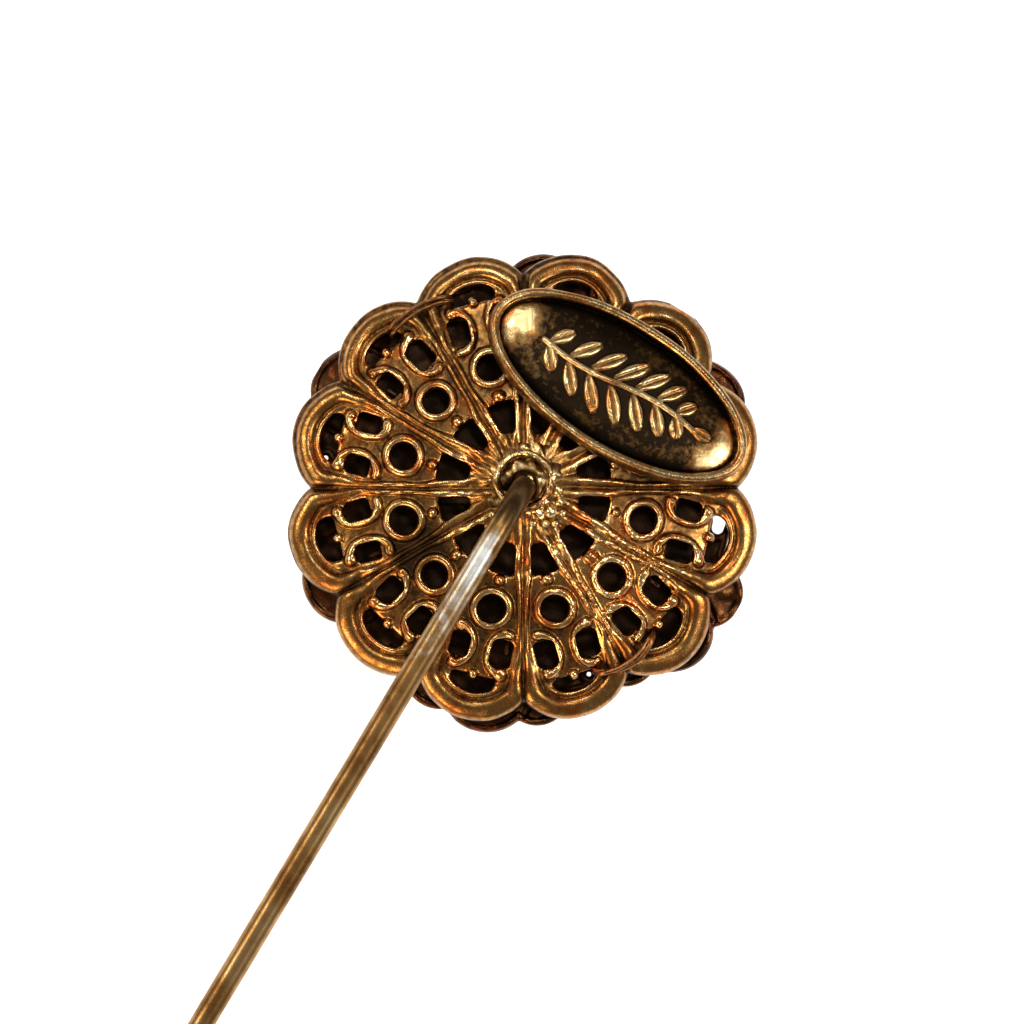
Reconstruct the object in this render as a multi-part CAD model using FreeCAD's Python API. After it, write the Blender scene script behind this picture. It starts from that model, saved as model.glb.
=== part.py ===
import FreeCAD, Part

import math
import os

from FreeCAD import Vector

# A hat pin.  The origin lies on the shank's axis where its straight length begins.
# +X runs along the shank to the point, +Z is the back of the head, and the jewelled face is -Z.
# All lengths are in millimetres and all angles in degrees.

# Stem
STEM_D = 1.02
BEND_R = 2.2
SHANK_LENGTH = 76.0
POINT_LENGTH = 10.0
POINT_TIP_R = 0.06
LEG_END_Z = -4.3

# Back filigree plate, a shallow dome
PETALS = 12
FIRST_PETAL = 16.0
DOME_R = 27.85
DOME_TOP_Z = -3.3
SHEET_T = 0.5
RELIEF_T = 0.25
PLATE_DISC_R = 8.0
PETAL_R = 2.7
PETAL_CENTRE = 7.50
RIM_W = 1.1
CRESCENT_INNER_R = 1.65
CRESCENT_INNER_CENTRE = 6.62
CRESCENT_HALF_W = 1.1
OBLONG_SIZE = (1.2, 0.95)
OBLONG_CENTRE = (7.05, 0.9)
ROUND_HOLE = (5.25, 0.55)
ROUND_RING_R = 0.85
WEDGE_HOLE_SPAN = (2.4, 3.6)
WEDGE_HOLE_HALF = (0.2, 0.58)
RIB_HALF_W = 0.42
RIB_END = 8.0
HUB_R = 2.2

# Boss and solder at the middle of the back
BOSS_R = 1.3
BOSS_TOP_Z = -2.25
SOLDER_R = 1.85
SOLDER_H = 0.45

# Oval plaque, laid along the dome
PLAQUE_ANGLE = 168.2
PLAQUE_CENTRE = 5.75
PLAQUE_HALF = (6.2, 2.95)
PLAQUE_LONG_AXIS = 89.0
PLAQUE_T = 0.95
PLAQUE_RIM_W = 0.42
PLAQUE_POCKET = 0.45
PLAQUE_GAP = 0.12
DAB_R = 0.9
DAB_OFFSET = 2.4

# Front flower rosette
FLOWER_SHIFT = (0.23, 0.19)
FLOWER_PETALS = 6
FLOWER_FIRST = 25.0
FLOWER_DOME_R = 60.0
FLOWER_TOP_Z = -5.2
FLOWER_T = 0.45
FLOWER_DISC_R = 8.5
LOBE_MID = (8.45, 1.95)
LOBE_SIDE = (8.6, 1.45)
LOBE_SIDE_ANGLE = 14.5
VEIN_T = 0.2
VEIN_HALF_W = 0.3
VEIN_SPAN = (3.0, 9.4)

# Tie wires, which hold the plate and the flower together at two opposite notches
TIE_ANGLES = {"tie_wire_upper": 241.0, "tie_wire_lower": 61.0}
TIE_WIRE_R = 0.15
TIE_CENTRE = 8.3
TIE_HALF_W = 1.45
TIE_CORNER_R = 0.45
TIE_HOLE_R = 0.25

# Bead carrier, a pierced dome towards the face
CARRIER_R = 5.6
CARRIER_TOP_Z = -7.05
CARRIER_RIM_Z = -6.16
CARRIER_T = 0.35
CARRIER_HOLE_R = 0.4
CARRIER_HOLES = ((2.0, 6), (4.9, 12))

# Ring of pearls
RING_PEARLS = 12
RING_R = 6.85
PEARL_R = 1.65
PEARL_Z = -7.92
RING_WIRE_R = 0.12
LASHING_R = 0.09
LASHING_HALF_W = 0.28
LASHING_TOP_Z = -5.35
LASHING_HOLE_R = 0.45

# Stones and seed beads
STONES = 6
STONE_RING_R = 4.0
SETTING_R = 0.95
SETTING_BASE_Z = -6.8
SETTING_H = 1.4
SETTING_WALL = 0.13
STONE_H = 0.75
STONE_TABLE_R = 0.4
SEAT_DEPTH = 0.42
SEED_R = 0.65
SEED_WIRE_Z = -7.43
SEED_WIRE_R = 0.11

# Centre pearl on its cap and head pin
CENTRE_PEARL_R = 2.8
CAP_T = 0.25
CAP_RIM_RISE = 1.6
HEADPIN_R = 0.2
HEADPIN_BALL_R = 0.42
HEADPIN_TOP_Z = -4.75

# Point guard, which pulls off along +X
GUARD_MOUTH_X = 66.4
GUARD_LENGTH = 11.4
GUARD_R = 1.8
GUARD_NOSE_R = 1.5
GUARD_CHAMBER_R = 1.0
GUARD_CHAMBER_LENGTH = 10.1
LINER_R = 1.4
LINER_LENGTH = 3.4
LINER_CLEARANCE = 0.02
COLLAR_R = 2.15
COLLAR_LENGTH = 1.5

STEM_R = STEM_D / 2
HEAD = Vector(-BEND_R, 0, 0)
FLOWER = HEAD + Vector(FLOWER_SHIFT[0], FLOWER_SHIFT[1], 0)
UP = Vector(0, 0, 1)
ALONG = Vector(1, 0, 0)
CUT_TOP = 0.5
CUT_BOTTOM = -9.0


def at(radius, angle, z=0.0, centre=HEAD):
    """A point at this radius and angle about an upright axis through centre."""
    turn = math.radians(angle)
    return Vector(centre.x + radius * math.cos(turn), centre.y + radius * math.sin(turn), z)


def prism(face_wire):
    """A tall upright solid on a flat outline, for cutting or for keeping a region."""
    return Part.Face(face_wire).extrude(Vector(0, 0, CUT_TOP - CUT_BOTTOM))


def tall_cylinder(radius, centre):
    return Part.makeCylinder(radius, CUT_TOP - CUT_BOTTOM, Vector(centre.x, centre.y, CUT_BOTTOM))


def polygon(points):
    corners = [Vector(x, y, CUT_BOTTOM) for x, y in points]
    return Part.makePolygon(corners + [corners[0]])


def ball(radius, centre):
    return Part.makeSphere(radius, centre)


def dome_shell(outer, inner, centre):
    """The wall between two concentric balls."""
    return ball(outer, centre).cut(ball(inner, centre))


def ring_copies(unit, centre, count, first):
    """The same solid turned about an upright axis, joined into one."""
    copies = []
    for k in range(count):
        copy = unit.copy()
        copy.rotate(centre, UP, first + 360.0 / count * k)
        copies.append(copy)
    return copies[0].fuse(copies[1:]).removeSplitter()


def tube(path, start, direction, radius):
    """A wire of round section along a path, from start."""
    section = Part.Wire(Part.makeCircle(radius, start, direction))
    return Part.Wire(path).makePipeShell([section], True, False)


def loop_wire(half_width, height, corner, radius):
    """A closed wire loop, a round-cornered rectangle standing in the XZ plane about the origin."""
    w = half_width
    h = height / 2
    c = corner
    d = corner * (1 - math.sqrt(0.5))
    edges = []
    for side_x, side_z in ((1, 1), (1, -1), (-1, -1), (-1, 1)):
        before = Vector(side_x * (w - c), 0, side_z * h)
        after = Vector(side_x * w, 0, side_z * (h - c))
        if side_x * side_z < 0:
            before, after = after, before
        corner_point = Vector(side_x * (w - d), 0, side_z * (h - d))
        edges.append(Part.Arc(before, corner_point, after).toShape())
    path = []
    for k, arc in enumerate(edges):
        following = edges[(k + 1) % 4]
        path.append(arc)
        path.append(Part.makeLine(arc.Vertexes[-1].Point, following.Vertexes[0].Point))
    start = edges[0].Vertexes[0].Point
    return tube(path, start, Vector(1, 0, 0), radius)


def save(name, shape):
    """Write one closed solid, or one group of them, as a STEP file."""
    if not shape.isValid() or shape.Volume <= 0:
        raise RuntimeError(name + " is not a valid solid")
    shape.exportStep("parts/" + name + ".step")
    print(f"{name:20s} solids {len(shape.Solids)}  volume {shape.Volume:9.3f}")
    return shape


def make_stem():
    """Sharp shank, square bend and short leg, one piece of wire."""
    shank = Part.makeCylinder(STEM_R, SHANK_LENGTH - POINT_LENGTH, Vector(0, 0, 0), ALONG)
    point_start = Vector(SHANK_LENGTH - POINT_LENGTH, 0, 0)
    point = Part.makeCone(STEM_R, POINT_TIP_R, POINT_LENGTH, point_start, ALONG)
    section = Part.Face(Part.Wire(Part.makeCircle(STEM_R, Vector(0, 0, 0), ALONG)))
    bend = section.revolve(Vector(0, 0, -BEND_R), Vector(0, 1, 0), -90)
    leg_length = -BEND_R - LEG_END_Z
    leg = Part.makeCylinder(STEM_R, leg_length, Vector(-BEND_R, 0, LEG_END_Z))
    return shank.fuse([point, bend, leg]).removeSplitter()


def plate_unit():
    """One petal of the back plate, a wedge about +X from the head's axis."""
    half = 180.0 / PETALS
    reach = 12.0
    side = reach * math.tan(math.radians(half))
    wedge = prism(polygon([(0, 0), (reach, -side), (reach, side)]))
    petal_centre = Vector(PETAL_CENTRE, 0, 0)
    dome_centre = Vector(0, 0, DOME_TOP_Z - DOME_R)
    petal = tall_cylinder(PETAL_R, petal_centre)
    rim_hole = tall_cylinder(PETAL_R - RIM_W, petal_centre)
    outline = tall_cylinder(PLATE_DISC_R, Vector()).fuse(petal).common(wedge)

    inner = tall_cylinder(CRESCENT_INNER_R, Vector(CRESCENT_INNER_CENTRE, 0, 0))
    band_corner = Vector(PETAL_CENTRE, -CRESCENT_HALF_W, CUT_BOTTOM)
    band = Part.makeBox(PETAL_R, 2 * CRESCENT_HALF_W, CUT_TOP - CUT_BOTTOM, band_corner)
    holes = [rim_hole.common(band).cut(inner), tall_cylinder(STEM_R, Vector())]
    length, width = OBLONG_SIZE
    for side_y in (-1, 1):
        x = OBLONG_CENTRE[0] - length / 2
        y = side_y * OBLONG_CENTRE[1] - width / 2
        oblong = Part.makeBox(length, width, CUT_TOP - CUT_BOTTOM, Vector(x, y, CUT_BOTTOM))
        upright = [e for e in oblong.Edges if abs(e.tangentAt(0).z) > 0.9]
        holes.append(oblong.makeFillet(width * 0.35, upright))
    holes.append(tall_cylinder(ROUND_HOLE[1], Vector(ROUND_HOLE[0], 0, 0)))
    near, far = WEDGE_HOLE_SPAN
    near_half, far_half = WEDGE_HOLE_HALF
    holes.append(prism(polygon([(near, -near_half), (far, -far_half), (far, far_half), (near, near_half)])))

    sheet = outline.common(dome_shell(DOME_R, DOME_R - SHEET_T, dome_centre))
    rim = petal.cut(rim_hole).cut(tall_cylinder(PETAL_CENTRE, Vector()))
    raised = [rim, tall_cylinder(HUB_R, Vector()), tall_cylinder(ROUND_RING_R, Vector(ROUND_HOLE[0], 0, 0))]
    for turn in (-half, half):
        rib = Part.makeBox(RIB_END, 2 * RIB_HALF_W, CUT_TOP - CUT_BOTTOM, Vector(0, -RIB_HALF_W, CUT_BOTTOM))
        rib.rotate(Vector(), UP, turn)
        raised.append(rib)
    relief_shell = dome_shell(DOME_R + RELIEF_T, DOME_R - SHEET_T / 2, dome_centre)
    relief = raised[0].fuse(raised[1:]).common(wedge).common(relief_shell)
    return sheet.fuse(relief).cut(holes[0].fuse(holes[1:]))


def make_back_filigree():
    unit = plate_unit()
    unit.translate(HEAD)
    return ring_copies(unit, HEAD, PETALS, FIRST_PETAL)


def relief_ball():
    """The ball that the back plate's raised relief lies on."""
    return ball(DOME_R + RELIEF_T, Vector(HEAD.x, HEAD.y, DOME_TOP_Z - DOME_R))


def make_boss():
    foot = HEAD + Vector(0, 0, DOME_TOP_Z)
    cup = Part.makeCylinder(BOSS_R, BOSS_TOP_Z - DOME_TOP_Z, foot)
    bore = Part.makeCylinder(STEM_R, BOSS_TOP_Z - DOME_TOP_Z, foot)
    return cup.cut(bore).cut(relief_ball())


def make_boss_solder():
    foot = HEAD + Vector(0, 0, DOME_TOP_Z)
    height = RELIEF_T + SOLDER_H
    slope = Part.makeCone(SOLDER_R + (SOLDER_R - BOSS_R) * 0.5, BOSS_R + 0.05, height, foot)
    rim = Part.makeCylinder(SOLDER_R, height, foot)
    return slope.common(rim).cut(Part.makeCylinder(BOSS_R, height, foot)).cut(relief_ball())


def place_plaque(shape):
    """Lay a shape, made about the origin with its long axis on +X, along the dome."""
    ball_r = DOME_R + RELIEF_T + PLAQUE_GAP
    lean = math.degrees(math.asin(PLAQUE_CENTRE / ball_r))
    lean_axis = Vector(-math.sin(math.radians(PLAQUE_ANGLE)), math.cos(math.radians(PLAQUE_ANGLE)), 0)
    height = DOME_TOP_Z - DOME_R + ball_r * math.cos(math.radians(lean))
    shape.rotate(Vector(), UP, PLAQUE_LONG_AXIS)
    shape.rotate(Vector(), lean_axis, lean)
    shape.translate(at(PLAQUE_CENTRE, PLAQUE_ANGLE, height))
    return shape


def make_plaque():
    def oval(inset, z):
        half_long = PLAQUE_HALF[0] - inset
        half_short = PLAQUE_HALF[1] - inset
        curve = Part.Ellipse(Vector(0, 0, z), half_long, half_short)
        return Part.Face(Part.Wire(curve.toShape()))

    body = oval(0, 0).extrude(Vector(0, 0, PLAQUE_T))
    pocket = oval(PLAQUE_RIM_W, PLAQUE_T - PLAQUE_POCKET).extrude(Vector(0, 0, PLAQUE_T))
    return place_plaque(body.cut(pocket))


def make_plaque_solder():
    """Two dabs that fill the gap between the plaque's underside and the plate."""
    dabs = []
    for side in (-1, 1):
        dab = Part.makeCylinder(DAB_R, 2 * PLAQUE_T, Vector(side * DAB_OFFSET, 0, -2 * PLAQUE_T))
        dabs.append(place_plaque(dab).cut(relief_ball()))
    return Part.makeCompound(dabs)


def make_flower():
    """Six-petal front stamping; each petal ends in three lobes."""
    half = 180.0 / FLOWER_PETALS
    reach = 12.0
    side = reach * math.tan(math.radians(half))
    wedge = prism(polygon([(0, 0), (reach, -side), (reach, side)]))
    dome_centre = Vector(0, 0, FLOWER_TOP_Z - FLOWER_DOME_R)
    lobes = [tall_cylinder(LOBE_MID[1], Vector(LOBE_MID[0], 0, 0))]
    for turn in (-LOBE_SIDE_ANGLE, LOBE_SIDE_ANGLE):
        lobes.append(tall_cylinder(LOBE_SIDE[1], at(LOBE_SIDE[0], turn, 0, Vector())))
    outline = tall_cylinder(FLOWER_DISC_R, Vector()).fuse(lobes).common(wedge)
    sheet = outline.common(dome_shell(FLOWER_DOME_R, FLOWER_DOME_R - FLOWER_T, dome_centre))
    vein_length = VEIN_SPAN[1] - VEIN_SPAN[0]
    vein_corner = Vector(VEIN_SPAN[0], -VEIN_HALF_W, CUT_BOTTOM)
    vein = Part.makeBox(vein_length, 2 * VEIN_HALF_W, CUT_TOP - CUT_BOTTOM, vein_corner)
    inner_r = FLOWER_DOME_R - FLOWER_T - VEIN_T
    vein = vein.common(dome_shell(FLOWER_DOME_R - FLOWER_T / 2, inner_r, dome_centre))
    unit = sheet.fuse(vein)
    unit.translate(FLOWER)
    flower = ring_copies(unit, FLOWER, FLOWER_PETALS, FLOWER_FIRST)
    holes = [tall_cylinder(HEADPIN_R, HEAD)]
    for angle in TIE_ANGLES.values():
        turn = math.degrees(math.atan2(TIE_HALF_W, TIE_CENTRE))
        reach = math.hypot(TIE_HALF_W, TIE_CENTRE)
        for side_turn in (-turn, turn):
            holes.append(tall_cylinder(TIE_HOLE_R, at(reach, angle + side_turn)))
    for k in range(FLOWER_PETALS):
        holes.append(tall_cylinder(LASHING_HOLE_R, at(RING_R, FLOWER_FIRST + 60.0 * k)))
    return flower.cut(holes[0].fuse(holes[1:]))


def make_tie(angle):
    """A loop over the plate's notch and through the flower below it."""
    dome_z = DOME_TOP_Z - DOME_R + math.sqrt((DOME_R + RELIEF_T) ** 2 - TIE_CENTRE**2)
    flower_r = FLOWER_DOME_R - FLOWER_T
    flower_z = FLOWER_TOP_Z - FLOWER_DOME_R + math.sqrt(flower_r**2 - TIE_CENTRE**2)
    top = dome_z + TIE_WIRE_R + 0.05
    bottom = flower_z - TIE_WIRE_R - 0.1
    wire = loop_wire(TIE_HALF_W, top - bottom, TIE_CORNER_R, TIE_WIRE_R)
    wire.rotate(Vector(), UP, angle + 90)
    wire.translate(at(TIE_CENTRE, angle, (top + bottom) / 2))
    return wire


def make_carrier():
    """Shallow pierced dome with its crown towards the face."""
    rise = CARRIER_RIM_Z - CARRIER_TOP_Z
    outer = (CARRIER_R**2 + rise**2) / (2 * rise)
    centre = HEAD + Vector(0, 0, CARRIER_TOP_Z + outer)
    wall = dome_shell(outer, outer - CARRIER_T, centre)
    cap = Part.makeCylinder(CARRIER_R, rise, HEAD + Vector(0, 0, CARRIER_TOP_Z))
    holes = [tall_cylinder(HEADPIN_R, HEAD)]
    for ring_r, count in CARRIER_HOLES:
        for k in range(count):
            holes.append(tall_cylinder(CARRIER_HOLE_R, at(ring_r, 360.0 / count * k)))
    return wall.common(cap).cut(holes[0].fuse(holes[1:]))


def ring_wire(ring_r, wire_r, z):
    return Part.makeTorus(ring_r, wire_r, HEAD + Vector(0, 0, z))


def drilled_bead(radius, ring_r, angle, z, wire):
    """A round bead on a ring of wire, turned so that its seam is clear of the hole."""
    bead = Part.makeSphere(radius)
    bead.rotate(Vector(), UP, angle)
    bead.translate(at(ring_r, angle, z))
    return bead.cut(wire)


def make_lashings():
    """Six thin loops that hold the pearls' wire to the flower."""
    loops = []
    bottom = PEARL_Z - RING_WIRE_R - LASHING_R - 0.02
    for k in range(FLOWER_PETALS):
        angle = FLOWER_FIRST + 60.0 * k
        wire = loop_wire(LASHING_HALF_W, LASHING_TOP_Z - bottom, LASHING_HALF_W * 0.8, LASHING_R)
        wire.rotate(Vector(), UP, angle)
        wire.translate(at(RING_R, angle, (LASHING_TOP_Z + bottom) / 2))
        loops.append(wire)
    return Part.makeCompound(loops)


def make_setting(angle, wire):
    """A small round cup, open to the face, that the seed wire runs through."""
    foot = at(STONE_RING_R, angle, SETTING_BASE_Z - SETTING_H)
    cup = Part.makeCylinder(SETTING_R, SETTING_H, foot)
    pocket = Part.makeCylinder(SETTING_R - SETTING_WALL, SEAT_DEPTH, foot)
    return cup.cut(pocket).cut(wire)


def make_stone(angle):
    """A flat-backed stone with its crown towards the face."""
    radius = SETTING_R - SETTING_WALL
    back = at(STONE_RING_R, angle, SETTING_BASE_Z - SETTING_H + SEAT_DEPTH)
    girdle = Part.makeCylinder(radius, SEAT_DEPTH, back, -UP)
    crown_start = back + Vector(0, 0, -SEAT_DEPTH)
    crown = Part.makeCone(radius, STONE_TABLE_R, STONE_H - SEAT_DEPTH, crown_start, -UP)
    return girdle.fuse(crown)


def centre_pearl_place():
    return HEAD + Vector(0, 0, CARRIER_TOP_Z - CAP_T - CENTRE_PEARL_R)


def headpin_shaft(radius):
    low = centre_pearl_place().z - CENTRE_PEARL_R
    return Part.makeCylinder(radius, HEADPIN_TOP_Z - low, HEAD + Vector(0, 0, low))


def make_centre_cap():
    place = centre_pearl_place()
    wall = dome_shell(CENTRE_PEARL_R + CAP_T, CENTRE_PEARL_R, place)
    reach = CENTRE_PEARL_R + CAP_T
    keep = Part.makeCylinder(reach, reach - CAP_RIM_RISE, place + Vector(0, 0, CAP_RIM_RISE))
    return wall.common(keep).cut(headpin_shaft(HEADPIN_R))


def make_centre_pearl():
    return ball(CENTRE_PEARL_R, centre_pearl_place()).cut(headpin_shaft(HEADPIN_R))


def make_headpin():
    """Wire through the centre pearl with a small ball head on its face."""
    place = centre_pearl_place()
    head = ball(HEADPIN_BALL_R, place + Vector(0, 0, -CENTRE_PEARL_R))
    head = head.cut(ball(CENTRE_PEARL_R, place))
    return head.fuse(headpin_shaft(HEADPIN_R)).removeSplitter()


def make_guard_barrel():
    mouth = Vector(GUARD_MOUTH_X, 0, 0)
    body = Part.makeCylinder(GUARD_R, GUARD_LENGTH - GUARD_NOSE_R, mouth, ALONG)
    end = Part.makeCylinder(GUARD_R, GUARD_NOSE_R, mouth + ALONG * (GUARD_LENGTH - GUARD_NOSE_R), ALONG)
    far = [e for e in end.Edges if e.CenterOfMass.x > GUARD_MOUTH_X + GUARD_LENGTH - 0.01]
    end = end.makeFillet(GUARD_NOSE_R * 0.95, far)
    chamber = Part.makeCylinder(GUARD_CHAMBER_R, GUARD_CHAMBER_LENGTH, mouth, ALONG)
    seat = Part.makeCylinder(LINER_R, LINER_LENGTH, mouth, ALONG)
    return body.fuse(end).cut(chamber.fuse(seat)).removeSplitter()


def make_guard_liner():
    """Rubber plug that grips the taper of the point, so its bore is a cone."""
    mouth = Vector(GUARD_MOUTH_X, 0, 0)
    slope = (STEM_R - POINT_TIP_R) / POINT_LENGTH
    mouth_r = STEM_R - slope * (GUARD_MOUTH_X - SHANK_LENGTH + POINT_LENGTH) + LINER_CLEARANCE
    bore = Part.makeCone(mouth_r, mouth_r - slope * LINER_LENGTH, LINER_LENGTH, mouth, ALONG)
    return Part.makeCylinder(LINER_R, LINER_LENGTH, mouth, ALONG).cut(bore)


def make_guard_collar():
    mouth = Vector(GUARD_MOUTH_X, 0, 0)
    ring = Part.makeCylinder(COLLAR_R, COLLAR_LENGTH, mouth, ALONG)
    return ring.cut(Part.makeCylinder(GUARD_R, COLLAR_LENGTH, mouth, ALONG))


os.makedirs("parts", exist_ok=True)

save("pin_stem", make_stem())
save("back_filigree", make_back_filigree())
save("stem_boss", make_boss())
save("boss_solder", make_boss_solder())
save("oval_plaque", make_plaque())
save("plaque_solder", make_plaque_solder())
save("flower_rosette", make_flower())
for tie_name, tie_angle in TIE_ANGLES.items():
    save(tie_name, make_tie(tie_angle))
save("bead_carrier", make_carrier())

pearl_wire = save("pearl_ring_wire", ring_wire(RING_R, RING_WIRE_R, PEARL_Z))
for k in range(RING_PEARLS):
    pearl_angle = FLOWER_FIRST + 15.0 + 360.0 / RING_PEARLS * k
    pearl = drilled_bead(PEARL_R, RING_R, pearl_angle, PEARL_Z, pearl_wire)
    save(f"ring_pearl_{k + 1:02d}", pearl)
save("ring_lashings", make_lashings())

seed_wire = save("seed_wire", ring_wire(STONE_RING_R, SEED_WIRE_R, SEED_WIRE_Z))
for k in range(STONES):
    stone_angle = FLOWER_FIRST + 60.0 * k
    save(f"stone_setting_{k + 1}", make_setting(stone_angle, seed_wire))
    save(f"rhinestone_{k + 1}", make_stone(stone_angle))
    seed = drilled_bead(SEED_R, STONE_RING_R, stone_angle + 30.0, SEED_WIRE_Z, seed_wire)
    save(f"seed_bead_{k + 1}", seed)

save("centre_cap", make_centre_cap())
save("centre_pearl", make_centre_pearl())
save("centre_headpin", make_headpin())

save("guard_barrel", make_guard_barrel())
save("guard_liner", make_guard_liner())
save("guard_collar", make_guard_collar())
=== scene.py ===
from math import asin, cos, degrees, hypot, pi, radians, sin, sqrt

import bmesh
import bpy
import numpy as np
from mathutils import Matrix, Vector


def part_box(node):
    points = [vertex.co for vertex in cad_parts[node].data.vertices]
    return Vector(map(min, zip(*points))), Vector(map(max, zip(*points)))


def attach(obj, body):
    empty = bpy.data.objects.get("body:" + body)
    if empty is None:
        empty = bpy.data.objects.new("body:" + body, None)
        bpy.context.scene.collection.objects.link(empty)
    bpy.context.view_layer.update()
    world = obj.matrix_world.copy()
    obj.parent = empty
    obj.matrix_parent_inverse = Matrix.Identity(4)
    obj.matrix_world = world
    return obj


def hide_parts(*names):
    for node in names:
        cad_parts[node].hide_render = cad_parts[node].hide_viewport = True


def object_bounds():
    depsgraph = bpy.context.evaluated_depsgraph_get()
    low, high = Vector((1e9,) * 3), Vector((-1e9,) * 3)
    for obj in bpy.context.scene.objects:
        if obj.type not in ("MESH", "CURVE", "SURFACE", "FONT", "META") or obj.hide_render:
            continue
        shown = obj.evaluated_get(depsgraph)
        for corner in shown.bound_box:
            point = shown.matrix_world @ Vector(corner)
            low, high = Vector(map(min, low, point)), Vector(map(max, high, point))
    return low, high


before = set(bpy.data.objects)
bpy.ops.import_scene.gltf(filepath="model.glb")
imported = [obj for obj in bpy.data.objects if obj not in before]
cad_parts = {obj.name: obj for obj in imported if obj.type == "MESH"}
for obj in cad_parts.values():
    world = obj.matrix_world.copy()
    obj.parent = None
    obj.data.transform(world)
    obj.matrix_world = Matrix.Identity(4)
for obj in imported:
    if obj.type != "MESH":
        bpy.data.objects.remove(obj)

import openvdb
from mathutils import Matrix, Vector

# Shapes are in millimetres on the frame's axes, and become metres as meshes are made.
MM = 0.001
SCENE = bpy.context.scene
CAD_BOX = [list(corner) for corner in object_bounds()]


def node_box(name):
    """A node's lowest and highest corners in millimetres."""
    low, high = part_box(name)
    return np.array(low) / MM, np.array(high) / MM


def node_centre(name):
    return sum(node_box(name)) / 2


def half_size(name, axis):
    low, high = node_box(name)
    return (high[axis] - low[axis]) / 2


HEAD = node_centre("pearl_ring_wire")

# Back plate: twelve petals on a shallow dome
PETALS = 12
FIRST_PETAL = 16.0
DOME_R = 27.85
DOME_TOP = -3.3
SHEET_T = 0.45
PETAL_CENTRE = 7.50
PETAL_R = 2.70
RIM_W = 1.20
RIM_HEIGHT = 0.42
PLATE_STEP = 0.05
# Where the plate's solid middle ends and petals may part
PETALS_FROM = 8.0
# The side of the plate where a flat lip shows outside the rolled rim
LIP_ANGLE = 241.0
# How far each petal stands in or out of its even place
PETAL_REACH = (-0.04, -0.08, 0.02, 0.02, 0.08, 0.08, 0.06, -0.08, -0.09, -0.02, 0.10, 0.04)
# Each petal's ornament: its place outwards (and across) in the petal, then its radius, or its half
# sizes and a scroll's half width or a hole's corner.
MIDDLE_BALL = (8.19, 0.26)
SIDE_BALL = (7.92, 1.06, 0.29)
SMALL_BALLS = ((6.20, 1.06, 0.26), (4.02, 0.0, 0.27))
SCROLL = ((7.05, 1.02), (0.88, 0.64), 0.22)
ROUND_HOLE = (5.27, 0.54)
OBLONG_HOLE = ((7.06, 0.91), (0.54, 0.43), 0.20)
KEY_HOLE = (3.06, 0.64)
# The side where solder has spattered from the hub over the plate, also painted brighter there as a
# highlight, and the place of a dark stain
SPATTER_AND_HIGHLIGHT_TURN = 76.0
STAIN_TURN = 331.0

# Front flower: six petals of three lobes each, set a little off the head's axis
FLOWER_PETALS = 6
FLOWER_FIRST = 25.0
FLOWER_R = 60.0
FLOWER_TOP = -5.2
FLOWER_T = 0.34
FLOWER_SHIFT = (0.23, 0.19)
FLOWER_STEP = 0.07
# Below this height is the flower's front
FLOWER_FRONT_Z = -5.6
# Lobes as distance out and radius, and the side lobes' turn from the middle one in degrees
MIDDLE_LOBE = (8.45, 1.95)
SIDE_LOBE = (8.5, 1.46)
SIDE_LOBE_TURN = 14.5
# The disc about the head's axis that no notch cuts into
FLOWER_DISC_R = 9.06

# Oval plaque
PLAQUE_TURN = 89.0
PLAQUE_HALF = (6.2, 2.95)
PLAQUE_T = 0.95
# How far its underside stands above the plate's dome
PLAQUE_LIFT = 0.37
PLAQUE_STEP = 0.04
# The rolled rim: distance in from the edge, half width, height and the height of its foot
PLAQUE_RIM = (0.21, 0.23, 0.30, 0.62)
LEAF_LENGTHS = (1.35, 1.75, 1.95, 2.0, 1.9, 1.65, 1.15)
LEAF_HALF_W = 0.29

# Hub
BOSS_SHIFT = (-0.26, -0.16)
BOSS_RING_R = 1.15
BOSS_RING_Z = -2.50
BOSS_TUBE_R = 0.13
SOLDER_R = 2.05
SOLDER_BEAD_Z = -2.98
# Beads of solder: distance from the head's axis, angle, radius
SOLDER_BEADS = (
    (1.45, 118, 0.26), (1.62, 100, 0.20), (1.50, 80, 0.30), (1.75, 62, 0.18), (1.95, 88, 0.17),
    (1.52, 46, 0.19), (2.00, 72, 0.15), (1.70, -150, 0.22), (1.75, -20, 0.18),
)
HUB_STEP = 0.04

# Stem, pearls and stones
STEM_TAPER = 10.0
PEARLS = 12
STONES = 6
CLAWS = 6
# A setting's outline, foot to mouth: share of its radius, height (a minus: below the lip)
SETTING_SECTION = (
    (0.72, 0.0), (0.86, 0.10), (0.93, 0.5), (0.96, 0.80), (0.99, -0.42), (1, -0.30), (1, -0.22),
    (0.97, -0.16), (0.90, -0.15), (0.87, -0.20), (0.86, -0.42),
)
# A cut stone's rings of corners: share of its radius, depth under its top, how many, first angle
STONE_RINGS = (
    (0.45, 0.0, 16, 0.0), (0.99, 0.30, 16, 0.0), (1.0, 0.40, 16, 0.0), (0.80, 0.60, 8, 22.5),
    (0.50, 0.75, 8, 0.0),
)

# Point guard
FLUTES = 18
COLLAR_BEADS = 16
GUARD_END_R = 1.45


# ---- shapes from distance fields

WAVE_COUNT = 14


def waves(x, y, size, seed, z=0):
    """A smooth pseudo-random field, mostly within -1 to 1, with bumps about this size across."""
    rng = np.random.default_rng(seed)
    total = 0.0
    for _ in range(WAVE_COUNT):
        way = rng.normal(size=3)
        way *= pi / (size * rng.uniform(0.7, 1.5) * np.linalg.norm(way))
        phase = rng.uniform(0, 2 * pi)
        total += np.sin(way[0] * x + way[1] * y + way[2] * z + phase)
    return total / sqrt(2 * WAVE_COUNT)


def polar(radius, angle):
    """x and y of a point from its distance and its angle in degrees."""
    turn = radians(angle)
    return radius * cos(turn), radius * sin(turn)


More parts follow.
